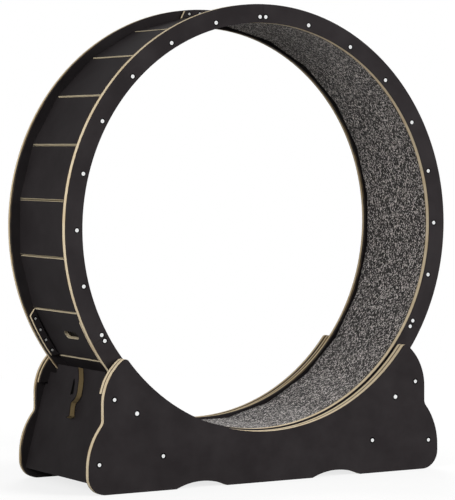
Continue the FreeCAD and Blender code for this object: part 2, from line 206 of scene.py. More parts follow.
@dataclass(frozen=True)
class MelamineLaminate(Finish):
    """Black melamine paper, hot-pressed on fibreboard between pearl-textured plates.

    To the eye it is a matt near-black: its fine pearl breaks every highlight up, and only faint
    paler clouds show where it has been handled.
    """

    name: ClassVar[str] = "melamine_laminate"
    colour: str = "#242122"
    handled: str = "#2c292a"
    handling_mm: float = 85.0      # width of a handled cloud
    pearl_mm: float = 2.5          # the real pearl is about 0.8 mm, drawn coarser so that it shows
    pearl_height_mm: float = 0.06
    roughness: float = 0.5
    gloss_spread: tuple[float, float] = (-0.06, 0.08)      # least and most that clouds add to it
    specular: float = 0.012        # matched to the photograph, where the boards don't shine

    def inputs(self, tree: bpy.types.NodeTree) -> dict:
        """Adds handled clouds in colour and gloss, and a pearl bump.

        Args:
            tree: the material's node tree.

        Returns:
            The shader's inputs.
        """
        place = add_node(tree, "ShaderNodeTexCoord").outputs["Object"]
        cloud = add_node(tree, "ShaderNodeTexNoise", {
            "Vector": place, "Scale": per_metre(self.handling_mm), "Detail": 4.0, "Roughness": 0.6,
        })
        pearl = add_node(tree, "ShaderNodeTexNoise", {
            "Vector": place, "Scale": per_metre(self.pearl_mm), "Detail": 2.0,
        })
        colour = add_node(
            tree, "ShaderNodeValToRGB", {"Fac": cloud.outputs["Fac"]},
            {0.35: self.colour, 0.72: self.handled},
        )
        least, most = self.gloss_spread
        gloss = add_node(tree, "ShaderNodeMapRange", {
            "Value": cloud.outputs["Fac"],
            "To Min": self.roughness + least, "To Max": self.roughness + most,
        })
        bump = add_node(tree, "ShaderNodeBump", {
            "Height": pearl.outputs["Fac"], "Strength": 0.12, "Distance": self.pearl_height_mm * MM,
        })
        return {
            "Base Color": colour.outputs["Color"], "Roughness": gloss.outputs["Result"],
            "Specular IOR Level": self.specular, "Normal": bump.outputs["Normal"],
        }


@dataclass(frozen=True)
class CutFibreboard(Finish):
    """Raw edge of medium-density fibreboard, cut with a router.

    To the eye it is dry and fibrous, pale in the loose core and dark where the cutter has rubbed
    the two dense skins.
    """

    name: str
    core: str
    skin: str
    fibre: str
    inner_skin: float = 0.17       # share of the thickness, on the side of the wheel's middle
    outer_skin: float = 0.17       # and on the other side
    solid_share: float = 0.6       # of a skin, beyond which it fades into the core
    fibre_mm: float = 2.2          # real bundles are about 0.5 mm, drawn coarser so that they show
    fibre_height_mm: float = 0.2
    burn_mm: float = 38.0          # length of a paler or darker stretch that the cutter leaves
    roughness: float = 0.85
    specular: float = 0.25

    def inputs(self, tree: bpy.types.NodeTree) -> dict:
        """Adds layers by "depth", 0 at a board's inner face and 1 at its outer one, and fibres.

        Args:
            tree: the material's node tree.

        Returns:
            The shader's inputs.
        """
        place = add_node(tree, "ShaderNodeTexCoord").outputs["Object"]
        depth = add_node(tree, "ShaderNodeAttribute", attribute_name="depth")
        layers = add_node(tree, "ShaderNodeValToRGB", {"Fac": depth.outputs["Fac"]}, {
            self.inner_skin * self.solid_share: self.skin, self.inner_skin: self.core,
            1 - self.outer_skin: self.core, 1 - self.outer_skin * self.solid_share: self.skin,
        })
        fibres = add_node(tree, "ShaderNodeTexNoise", {
            "Vector": place, "Scale": per_metre(self.fibre_mm), "Detail": 3.0, "Roughness": 0.65,
        })
        burn = add_node(tree, "ShaderNodeTexNoise", {
            "Vector": place, "Scale": per_metre(self.burn_mm), "Detail": 2.0,
        })
        speck = add_node(tree, "ShaderNodeMapRange", {
            "Value": fibres.outputs["Fac"], "From Min": 0.55, "From Max": 0.8, "To Max": 0.55,
        })
        stain = add_node(tree, "ShaderNodeMapRange", {
            "Value": burn.outputs["Fac"], "From Min": 0.45, "From Max": 0.75, "To Max": 0.35,
        })
        share = add_node(
            tree, "ShaderNodeMath", {0: speck.outputs["Result"], 1: stain.outputs["Result"]},
            operation="MAXIMUM",
        )
        colour = add_node(tree, "ShaderNodeMix", {
            0: share.outputs[0], 6: layers.outputs["Color"], 7: linear(self.fibre),
        }, data_type="RGBA")
        bump = add_node(tree, "ShaderNodeBump", {
            "Height": fibres.outputs["Fac"], "Strength": 0.35,
            "Distance": self.fibre_height_mm * MM,
        })
        return {
            "Base Color": colour.outputs[2], "Roughness": self.roughness,
            "Specular IOR Level": self.specular, "Normal": bump.outputs["Normal"],
        }


@dataclass(frozen=True)
class LoopPileCarpet(Finish):
    """Low loop-pile carpet of mixed dark and light polypropylene yarn.

    To the eye it is a salt-and-pepper grey, with each loop a fleck that leans across the strip.
    """

    name: ClassVar[str] = "loop_pile_carpet"
    dark: str = "#090808"
    middle: str = "#403c3b"
    light: str = "#e0d9d5"
    loop_mm: float = 2.8
    loop_height_mm: float = 0.9
    loop_stretch: float = 1.5      # a loop is this much longer than it is wide
    lean_deg: float = 38.0
    patch_mm: float = 14.0
    patch_tone: float = 0.05       # how much darker or lighter a patch of yarn may be
    roughness: float = 0.95
    specular: float = 0.15
    sheen: float = 0.12
    sheen_roughness: float = 0.6

    def inputs(self, tree: bpy.types.NodeTree) -> dict:
        """Adds leaning loops on UVs in metres along and across the strip, in patches.

        Args:
            tree: the material's node tree.

        Returns:
            The shader's inputs.
        """
        flat = add_node(tree, "ShaderNodeTexCoord").outputs["UV"]
        leaning = add_node(tree, "ShaderNodeMapping", {
            "Vector": flat, "Rotation": (0, 0, math.radians(self.lean_deg)),
            "Scale": (1, self.loop_stretch, 1),
        })
        loops = add_node(tree, "ShaderNodeTexVoronoi", {
            "Vector": leaning.outputs["Vector"], "Scale": per_metre(self.loop_mm),
            "Randomness": 0.9,
        }, voronoi_dimensions="2D")
        yarn = add_node(tree, "ShaderNodeSeparateColor", {"Color": loops.outputs["Color"]})
        patch = add_node(tree, "ShaderNodeTexNoise", {
            "Vector": flat, "Scale": per_metre(self.patch_mm), "Detail": 3.0,
        }, noise_dimensions="2D")
        lift = add_node(tree, "ShaderNodeMapRange", {
            "Value": patch.outputs["Fac"], "From Min": 0.3, "From Max": 0.7,
            "To Min": -self.patch_tone, "To Max": self.patch_tone,
        })
        tone = add_node(
            tree, "ShaderNodeMath", {0: yarn.outputs["Red"], 1: lift.outputs["Result"]},
            operation="ADD",
        )
        colour = add_node(tree, "ShaderNodeValToRGB", {"Fac": tone.outputs[0]}, {
            0.3: self.dark, 0.5: self.middle, 0.7: self.middle, 0.9: self.light,
        })
        round_tops = add_node(tree, "ShaderNodeMapRange", {
            "Value": loops.outputs["Distance"], "From Max": 0.8, "To Min": 1.0, "To Max": 0.0,
        })
        bump = add_node(tree, "ShaderNodeBump", {
            "Height": round_tops.outputs["Result"], "Strength": 0.8,
            "Distance": self.loop_height_mm * MM,
        })
        return {
            "Base Color": colour.outputs["Color"], "Roughness": self.roughness,
            "Specular IOR Level": self.specular, "Sheen Weight": self.sheen,
            "Sheen Roughness": self.sheen_roughness, "Normal": bump.outputs["Normal"],
        }


@dataclass(frozen=True)
class CarpetBacking(Finish):
    """Bitumen-coated weave on the underside of the carpet.

    To the eye it is a dull black net, seen through the lock slot and at the seam.
    """

    name: ClassVar[str] = "carpet_backing"
    colour: str = "#121110"
    thread: str = "#25211d"
    weave_mm: float = 4.0
    thread_height_mm: float = 0.2
    roughness: float = 0.9
    specular: float = 0.2

    def inputs(self, tree: bpy.types.NodeTree) -> dict:
        """Adds a square weave on UVs in metres.

        Args:
            tree: the material's node tree.

        Returns:
            The shader's inputs.
        """
        flat = add_node(tree, "ShaderNodeTexCoord").outputs["UV"]
        weave = add_node(tree, "ShaderNodeTexBrick", {
            "Vector": flat, "Scale": per_metre(self.weave_mm), "Color1": linear(self.colour),
            "Color2": linear(self.colour), "Mortar": linear(self.thread), "Mortar Size": 0.12,
            "Brick Width": 1.0, "Row Height": 1.0,
        })
        bump = add_node(tree, "ShaderNodeBump", {
            "Height": weave.outputs["Fac"], "Strength": 0.4,
            "Distance": self.thread_height_mm * MM,
        })
        return {
            "Base Color": weave.outputs["Color"], "Roughness": self.roughness,
            "Specular IOR Level": self.specular, "Normal": bump.outputs["Normal"],
        }


@dataclass(frozen=True)
class WorkedMetal(Finish):
    """A metal whose surface keeps the marks of how it was made; it keeps the default IOR."""

    name: str
    colour: str
    roughness: float
    mark_mm: float
    mark_depth_mm: float
    along: float = 1.0             # marks are this much longer along Y than across it
    gloss_spread: tuple[float, float] = (-0.08, 0.1)       # least and most that marks add

    def inputs(self, tree: bpy.types.NodeTree) -> dict:
        """Adds marks in gloss and relief.

        Args:
            tree: the material's node tree.

        Returns:
            The shader's inputs.
        """
        place = add_node(tree, "ShaderNodeTexCoord").outputs["Object"]
        drawn = add_node(tree, "ShaderNodeMapping", {
            "Vector": place, "Scale": (1, 1 / self.along, 1),
        })
        marks = add_node(tree, "ShaderNodeTexNoise", {
            "Vector": drawn.outputs["Vector"], "Scale": per_metre(self.mark_mm), "Detail": 3.0,
        })
        least, most = self.gloss_spread
        gloss = add_node(tree, "ShaderNodeMapRange", {
            "Value": marks.outputs["Fac"],
            "To Min": self.roughness + least, "To Max": self.roughness + most,
        })
        bump = add_node(tree, "ShaderNodeBump", {
            "Height": marks.outputs["Fac"], "Strength": 0.3, "Distance": self.mark_depth_mm * MM,
        })
        return {
            "Base Color": linear(self.colour), "Metallic": 1.0,
            "Roughness": gloss.outputs["Result"], "Normal": bump.outputs["Normal"],
        }


@dataclass(frozen=True)
class TyreRubber(Finish):
    """Moulded thermoplastic rubber on the rollers.

    To the eye it is a matt charcoal with paler dust where it has run on the wheel.
    """

    name: ClassVar[str] = "tyre_rubber"
    colour: str = "#222223"
    dust: str = "#47433f"
    dust_mm: float = 9.0
    grain_mm: float = 0.9
    grain_height_mm: float = 0.05
    roughness: float = 0.75

    def inputs(self, tree: bpy.types.NodeTree) -> dict:
        """Adds dust in colour and a fine moulded grain.

        Args:
            tree: the material's node tree.

        Returns:
            The shader's inputs.
        """
        place = add_node(tree, "ShaderNodeTexCoord").outputs["Object"]
        dusting = add_node(tree, "ShaderNodeTexNoise", {
            "Vector": place, "Scale": per_metre(self.dust_mm), "Detail": 5.0,
        })
        grain = add_node(tree, "ShaderNodeTexNoise", {
            "Vector": place, "Scale": per_metre(self.grain_mm), "Detail": 2.0,
        })
        colour = add_node(
            tree, "ShaderNodeValToRGB", {"Fac": dusting.outputs["Fac"]},
            {0.45: self.colour, 0.85: self.dust},
        )
        bump = add_node(tree, "ShaderNodeBump", {
            "Height": grain.outputs["Fac"], "Strength": 0.3, "Distance": self.grain_height_mm * MM,
        })
        return {
            "Base Color": colour.outputs["Color"], "Roughness": self.roughness,
            "Normal": bump.outputs["Normal"],
        }


@dataclass(frozen=True)
class PlanedPine(Finish):
    """Square-sawn and planed softwood of the two battens.

    To the eye it is a pale yellow with darker growth rings that run out along the batten.
    """

    name: ClassVar[str] = "planed_pine"
    early: str = "#dcbc88"
    late: str = "#b98a50"
    ring_mm: float = 5.0
    ring_height_mm: float = 0.1
    pith_offset_mm: float = 60.0   # the batten is sawn this far from the middle of the trunk
    taper: float = 0.08            # how fast the rings change along the trunk
    roughness: float = 0.6

    def inputs(self, tree: bpy.types.NodeTree) -> dict:
        """Adds growth rings about a line along Y beside the batten.

        Args:
            tree: the material's node tree.

        Returns:
            The shader's inputs.
        """
        place = add_node(tree, "ShaderNodeTexCoord").outputs["Object"]
        trunk = add_node(tree, "ShaderNodeMapping", {
            "Vector": place, "Location": (self.pith_offset_mm * MM, 0, 0),
            "Scale": (1, self.taper, 1),
        })
        rings = add_node(tree, "ShaderNodeTexWave", {
            "Vector": trunk.outputs["Vector"], "Scale": per_metre(self.ring_mm) / math.tau,
            "Distortion": 2.5, "Detail": 3.0, "Detail Scale": 1.5,
        }, wave_type="RINGS", rings_direction="Y", wave_profile="SAW")
        colour = add_node(
            tree, "ShaderNodeValToRGB", {"Fac": rings.outputs["Fac"]},
            {0.2: self.early, 0.95: self.late},
        )
        bump = add_node(tree, "ShaderNodeBump", {
            "Height": rings.outputs["Fac"], "Strength": 0.15, "Distance": self.ring_height_mm * MM,
        })
        return {
            "Base Color": colour.outputs["Color"], "Roughness": self.roughness,
            "Normal": bump.outputs["Normal"],
        }


class Finishes:
    """One material of each finish, shared by the pieces."""

    def __init__(self) -> None:
        """Builds every material."""
        self.laminate = MelamineLaminate().material()
        # Left raw on the front boards: golden tan.
        self.cut_edge = CutFibreboard("cut_fibreboard", "#dacaac", "#33281c", "#b0946a").material()
        # On the back boards, most of the edge from the inside is darkened as painted shade.
        self.shade_darkened_edge = CutFibreboard(
            "half_stained_fibreboard", "#d2bf9c", "#171312", "#a48961",
            inner_skin=0.66, outer_skin=0.1,
        ).material()
        # Sanded on the treads: paler and greyer, and nearly the same across the thickness.
        self.sanded_edge = CutFibreboard(
            "sanded_fibreboard", "#c2b69c", "#b3a88f", "#8a7d66",
        ).material()
        # Black on the end panels, whose edges are stained; in the stopper's slot and in every
        # screw's seat the black is painted shade.
        self.stain_and_shade_edge = CutFibreboard(
            "stained_fibreboard", "#0d0b0b", "#0a0909", "#151211",
        ).material()
        # The walls of the lock slot: painted black inside as the slot's shade, and tan near the
        # mouth.
        self.slot_shade_edge = CutFibreboard(
            "worn_fibreboard", "#a1957d", "#0d0b0b", "#7a6f5a", inner_skin=0.52, outer_skin=0.01,
        ).material()
        # Sanded on the stopper, and darker than the other raw edges as painted shade: olive brown.
        self.shaded_stopper_edge = CutFibreboard(
            "handled_fibreboard", "#8a7856", "#33291d", "#5f4d35",
        ).material()
        self.carpet = LoopPileCarpet().material()
        self.backing = CarpetBacking().material()
        self.pine = PlanedPine().material()
        self.rubber = TyreRubber().material()
        # Zinc plate over a rolled screw head: a blue-white mirror that reads as a white dot.
        self.zinc = WorkedMetal("zinc_plate", "#f1f2f2", 0.3, 1.5, 0.02).material()
        # The same plate gone matt on the small screws of the joint plates.
        self.dull_zinc = WorkedMetal("dull_zinc_plate", "#e6e6e4", 0.55, 1.5, 0.03).material()
        # Cold-drawn steel rod under zinc plate: bright, with long fine die lines along the axle.
        self.plated_rod = WorkedMetal(
            "plated_rod", "#f1f2f2", 0.3, 0.6, 0.02, along=30.0,
        ).material()
        # Ground and pressed bearing steel: a darker, cleaner grey.
        self.bearing_steel = WorkedMetal("bearing_steel", "#b4b6b8", 0.25, 0.8, 0.01).material()

    def edge_of(self, side: Side) -> bpy.types.Material:
        """The edge finish of the rings and stand boards on one side; at the back it carries painted
        shade.
        """
        return self.cut_edge if side is Side.FRONT else self.shade_darkened_edge


# ---------------------------------------------------------------- meshes


@dataclass
class Solid:
    """A closed mesh as plain lists."""

    points: list[Vector]
    faces: list[tuple[int, ...]]

    def placed(self, matrix: Matrix) -> "Solid":
        """The same solid moved by a matrix."""
        return Solid([matrix @ point for point in self.points], self.faces)


def mesh_of(name: str, solids: Iterable[Solid]) -> bpy.types.Mesh:
    """Joins solids into one mesh.

    Args:
        name: the mesh's name.
        solids: closed meshes that don't share corners.

    Returns:
        The mesh, with its faces turned outwards.
    """
    points: list[Vector] = []
    faces: list[tuple[int, ...]] = []
    for solid in solids:
        start = len(points)
        points += solid.points
        faces += [tuple(start + corner for corner in face) for face in solid.faces]
    mesh = bpy.data.meshes.new(name)
    mesh.from_pydata(points, [], faces)
    work = bmesh.new()
    work.from_mesh(mesh)
    bmesh.ops.recalc_face_normals(work, faces=work.faces)
    work.to_mesh(mesh)
    work.free()
    return mesh


def new_piece(
    name: str, mesh: bpy.types.Mesh, materials: Sequence[bpy.types.Material], body: str,
    replaces: Sequence[str] = (), smooth_deg: float = 30.0,
) -> bpy.types.Object:
    """Makes a mesh a piece of the object.

    Args:
        name: the piece's name.
        mesh: the final mesh, in the frame's place.
        materials: its materials, in the order of the mesh's material numbers.
        body: the body that it rides on.
        replaces: CAD nodes that it stands for.
        smooth_deg: edges flatter than this are shaded smooth.

    Returns:
        The piece.
    """
    for material in materials:
        mesh.materials.append(material)
    mesh.shade_smooth()
    mesh.set_sharp_from_angle(angle=math.radians(smooth_deg))
    piece = bpy.data.objects.new(name, mesh)
    bpy.context.scene.collection.objects.link(piece)
    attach(piece, body)
    if replaces:
        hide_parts(*replaces)
    LOG.info("%s: %d faces, on %s", name, len(mesh.polygons), body)
    return piece


def turned(profile: Sequence[tuple[float, float]], segments: int, hollow: bool = False) -> Solid:
    """Turns a profile about +Z.

    Args:
        profile: (radius, height) of each corner; a solid one starts and ends on the axis.
        segments: corners of each circle.
        hollow: whether the profile closes on itself, as a tube's does.

    Returns:
        The turned solid.
    """
    points: list[Vector] = []
    rows: list[list[int]] = []
    for radius, height in profile:
        count = segments if radius > 0 else 1
        start = len(points)
        for step in range(count):
            angle = math.tau * step / segments
            points.append(Vector((radius * math.cos(angle), radius * math.sin(angle), height)))
        rows.append([start + step % count for step in range(segments)])
    faces = []
    for low, high in zip(rows, rows[1:] + rows[:1] if hollow else rows[1:]):
        for step in range(segments):
            after = (step + 1) % segments
            ring = [low[step], low[after], high[after], high[step]]
            faces.append(tuple(dict.fromkeys(ring)))
    return Solid(points, [face for face in faces if len(face) > 2])


def mirrored(half: Sequence[tuple[float, float]]) -> list[tuple[float, float]]:
    """Closes a profile's upper half with its mirror image below."""
    return [*half, *((radius, -height) for radius, height in reversed(half))]


def carved(mesh: bpy.types.Mesh, cutter: bpy.types.Mesh) -> bpy.types.Mesh:
    """Takes one closed mesh out of another.

    Args:
        mesh: what is cut.
        cutter: what is taken out of it.

    Returns:
        A new mesh.
    """
    work = bpy.data.objects.new("work", mesh)
    tool = bpy.data.objects.new("tool", cutter)
    for item in (work, tool):
        bpy.context.scene.collection.objects.link(item)
    modifier = work.modifiers.new("carve", "BOOLEAN")
    modifier.operation = "DIFFERENCE"
    modifier.solver = "EXACT"
    modifier.object = tool
    scene_state = bpy.context.evaluated_depsgraph_get()
    result = bpy.data.meshes.new_from_object(work.evaluated_get(scene_state))
    for item in (work, tool):
        bpy.data.objects.remove(item)
    return result


def facing(place: Vector, direction: Vector) -> Matrix:
    """Matrix that brings +Z to a direction and the origin to a place."""
    turn = direction.to_track_quat("Z", "Y").to_matrix().to_4x4()
    return Matrix.Translation(place) @ turn


def welded(node: str) -> bmesh.types.BMesh:
    """Copies a CAD node's mesh and joins its split corners again.

    Args:
        node: the node's name.

    Returns:
        The copy, which the caller frees.
    """
    work = bmesh.new()
    work.from_mesh(frame["nodes"][node].data)
    bmesh.ops.remove_doubles(work, verts=work.verts, dist=SAME_PLACE)
    return work


def islands(node: str) -> list[np.ndarray]:
    """Corners of each separate solid in a CAD node.

    Args:
        node: the node's name.

    Returns:
        An array of points for each solid, in the frame, in order of place.
    """
    work = welded(node)
    found = []
    left = set(work.verts)
    while left:
        reached, border = set(), [left.pop()]
        while border:
            vert = border.pop()
            reached.add(vert)
            linked = {edge.other_vert(vert) for edge in vert.link_edges} & left
            left -= linked
            border += linked
        found.append(np.array([vert.co for vert in reached]))
    work.free()
    return sorted(found, key=lambda points: tuple(points.mean(0).round(4)))


def make_whole(work: bmesh.types.BMesh) -> None:
    """Joins corners that coincide and triangles that lie in one plane.

    Args:
        work: the mesh.
    """
    bmesh.ops.remove_doubles(work, verts=work.verts, dist=SAME_PLACE)
    flat = math.radians(SAME_PLANE_DEG)
    bmesh.ops.dissolve_limit(work, angle_limit=flat, verts=work.verts, edges=work.edges)


def ease(work: bmesh.types.BMesh, arris_mm: float, corner_deg: float) -> None:
    """Chamfers the corners of a board lightly.

    Args:
        work: the board.
        arris_mm: width of the chamfer.
        corner_deg: faces that meet at more than this have a corner between them.
    """
    corner = math.radians(corner_deg)
    sharp = [
        edge for edge in work.edges if edge.is_manifold and edge.calc_face_angle() > corner
    ]
    bmesh.ops.bevel(
        work, geom=sharp, offset=arris_mm * MM, offset_type="OFFSET", segments=1,
        profile=0.5, affect="EDGES", clamp_overlap=True, material=-1,
    )


# ---------------------------------------------------------------- boards


class BoardFace(int, Enum):
    """Material numbers on a board."""

    LAMINATE = 0
    CUT_EDGE = 1
    RECESS = 2                     # inside a screw's seat or an opening, dark as painted shade


@dataclass(frozen=True)
class Seat:
    """Where a screw or an axle ends: the middle of its face, and the way that it looks."""

    place: Vector
    outward: Vector


@dataclass
class Board:
    """A board of the frame, with its arrises eased and its screw heads let in."""

    node: str
    body: Body
    finishes: Finishes
    slot: Slot = Slot.LAMINATED_BOARD
    arris_mm: float = 0.5
    edge: bpy.types.Material | None = None         # of its sawn sides, raw when it isn't given
    slot_wall: bpy.types.Material | None = None    # of the walls of an opening in the board, dark as painted shade when it isn't given
    seats: Sequence[Seat] = ()
    head_radius: float = 0.0           # of the screws that are let in
    seat_clearance_mm: float = 2.1     # of a counterbore around its screw head
    seat_step_mm: float = 1.2          # depth of the counterbore's straight wall
    seat_margin_mm: float = 0.2        # faces this much beyond a counterbore still belong to it
    seat_segments: int = 24
    # How far a face looks across the board: 1 for its broad faces, 0 for its sawn sides.
    flat_share: float = 0.6            # from here up it is laminate
    face_share: float = 0.999          # from here up it is the broad face itself, shaded flat
    wall_share: float = 0.3            # below this it can be a slot's wall
    border_mm: float = 6.0             # a slot's walls lie further in than this from the sides
    corner_deg: float = 25.0           # faces that meet at more than this have an arris between

    def build(self) -> bpy.types.Object:
        """Cuts the counterbores, eases the arrises and dresses faces and edges.

        Returns:
            The finished piece, which stands for the CAD node.
        """
        mesh = bpy.data.meshes.new(self.node + "_board")
        work = welded(self.node)
        make_whole(work)
        work.to_mesh(mesh)
        work.free()
        if self.seats:
            cutter = mesh_of("counterbores", [self.counterbore(seat) for seat in self.seats])
            mesh = carved(mesh, cutter)
        work = bmesh.new()
        work.from_mesh(mesh)
        make_whole(work)
        ease(work, self.arris_mm, self.corner_deg)
        normal = self.outward(work)
        self.dress(work, normal)
        flat = [abs(face.normal.dot(normal)) > self.face_share for face in work.faces]
        work.to_mesh(mesh)
        work.free()
        self.mark_depth(mesh, normal)
        materials = [
            self.finishes.laminate, self.edge or self.finishes.cut_edge,
            self.slot_wall or self.finishes.stain_and_shade_edge,
        ]
        name = self.node + "_board"
        piece = new_piece(name, mesh, materials, self.body.value, [self.node])
        for polygon, is_flat in zip(mesh.polygons, flat):
            polygon.use_smooth = not is_flat
        return piece

    def counterbore(self, seat: Seat) -> Solid:
        """The stepped hole that is taken out of the board under a screw's head.

        Args:
            seat: where the head lies.

        Returns:
            A cutter with a straight wall above and a cone below.
        """
        wide, step = self.head_radius + self.seat_clearance_mm * MM, self.seat_step_mm * MM
        deep = step + WoodScrew.depth_share * wide
        profile = [(0, -deep), (wide / 2, -deep), (wide, -step), (wide, deep), (0, deep)]
        return turned(profile, self.seat_segments).placed(facing(seat.place, seat.outward))

    def outward(self, work: bmesh.types.BMesh) -> Vector:
        """Finds the way across the board.

        Args:
            work: the board's mesh.

        Returns:
            The normal of its largest face, turned away from the wheel's middle.
        """
        normal = max(work.faces, key=lambda face: face.calc_area()).normal.copy()
        middle = sum((vert.co for vert in work.verts), Vector()) / len(work.verts)
        return normal if normal.dot(middle - WHEEL_MIDDLE) > 0 else -normal

    def dress(self, work: bmesh.types.BMesh, normal: Vector) -> None:
        """Numbers the finish of each face.

        Args:
            work: the board's mesh.
            normal: the way across the board.
        """
        long_way = Y_AXIS if abs(normal.y) < 0.5 else Vector((1, 0, 0))
        ways = (long_way, normal.cross(long_way).normalized())
        reach = [[vert.co.dot(way) for vert in work.verts] for way in ways]
        border = self.border_mm * MM
        spans = [(min(row) + border, max(row) - border) for row in reach]
        clear = self.head_radius + (self.seat_clearance_mm + self.seat_margin_mm) * MM
        for face in work.faces:
            share = abs(face.normal.dot(normal))
            centre = face.calc_center_median()
            within = all(low < centre.dot(way) < high for way, (low, high) in zip(ways, spans))
            in_slot = self.slot_wall is not None and within and share < self.wall_share
            in_seat = share < self.face_share and any(
                (centre - seat.place).cross(seat.outward).length < clear for seat in self.seats
            )
            # Seats and slot walls take the recess finish, painted dark as their shade.
            if in_slot or in_seat:
                kind = BoardFace.RECESS
            else:
                kind = BoardFace.LAMINATE if share > self.flat_share else BoardFace.CUT_EDGE
            face.material_index = kind.value

    def mark_depth(self, mesh: bpy.types.Mesh, normal: Vector) -> None:
        """Writes how far through the board each corner is, from 0 inside to 1 outside.

        Args:
            mesh: the board's mesh.
            normal: the way across the board.
        """
        across = np.array([vertex.co.dot(normal) for vertex in mesh.vertices])
        share = (across - across.min()) / (across.max() - across.min())
        attribute = mesh.attributes.new("depth", "FLOAT", "POINT")
        attribute.data.foreach_set("value", share.astype(np.float32))


# ---------------------------------------------------------------- screws


@dataclass
class WoodScrew:
    """Countersunk wood screw with a cross recess and a blunt tip.

    Its shares are of the head's radius.
    """

    head_radius: float
    length: float
    finish: bpy.types.Material
    depth_share: float = 0.58
    shank_share: float = 0.5
    rim_share: float = 0.07
    edge_share: float = 0.04
    recess_width_share: float = 0.26
    recess_span_share: float = 1.0
    recess_depth_share: float = 0.32
    tip_share: float = 1.5
    segments: int = 24

    def __post_init__(self) -> None:
        """Makes the pattern that every screw of this size copies."""
        radius = self.head_radius
        edge, rim = self.edge_share * radius, self.rim_share * radius
        shank = self.shank_share * radius
        profile = [
            (0, 0), (radius - edge, 0), (radius, -edge), (radius, -edge - rim),
            (shank, -self.depth_share * radius), (shank, self.tip_share * radius - self.length),
            (0, -self.length),
        ]
        mesh = mesh_of("screw", [turned(profile, self.segments)])
        for turn in (0, math.pi / 2):
            mesh = carved(mesh, mesh_of("recess", [self.recess_arm(turn)]))
        self.pattern = Solid(
            [vertex.co.copy() for vertex in mesh.vertices],
            [tuple(face.vertices) for face in mesh.polygons],
        )

    def recess_arm(self, turn: float) -> Solid:
        """Shapes one of the two tapered slots that cross in the head.

        Args:
            turn: its angle about the screw, in radians.

        Returns:
            A cutter that reaches out of the head.
        """
        half = self.recess_width_share * self.head_radius / 2
        span = self.recess_span_share * self.head_radius
        depth = self.recess_depth_share * self.head_radius
        outline = [(-span / 2, depth), (span / 2, depth), (span / 4, -depth), (-span / 4, -depth)]
        points = [Vector((x, side * half, z)) for side in (-1, 1) for x, z in outline]
        walls = [(i, (i + 1) % 4, (i + 1) % 4 + 4, i + 4) for i in range(4)]
        faces = [(0, 1, 2, 3), (7, 6, 5, 4), *walls]
        return Solid(points, faces).placed(Matrix.Rotation(turn, 4, "Z"))

    def driven(
        self, name: str, seats: Sequence[Seat], body: Body, replaces: Sequence[str] = (),
    ) -> bpy.types.Object:
        """Copies the screw to each seat, each turned as its driver left it.

        Args:
            name: the piece's name.
            seats: where the heads lie.
            body: the body that they ride on.
            replaces: CAD nodes that they stand for.

        Returns:
            One piece with all the screws.
        """
        turns = np.random.default_rng(len(seats)).uniform(0, math.tau, len(seats))
        mesh = mesh_of(name, [
            self.pattern.placed(facing(seat.place, seat.outward) @ Matrix.Rotation(turn, 4, "Z"))
            for seat, turn in zip(seats, turns)
        ])
        return new_piece(name, mesh, [self.finish], body.value, replaces)


# ---------------------------------------------------------------- wheel


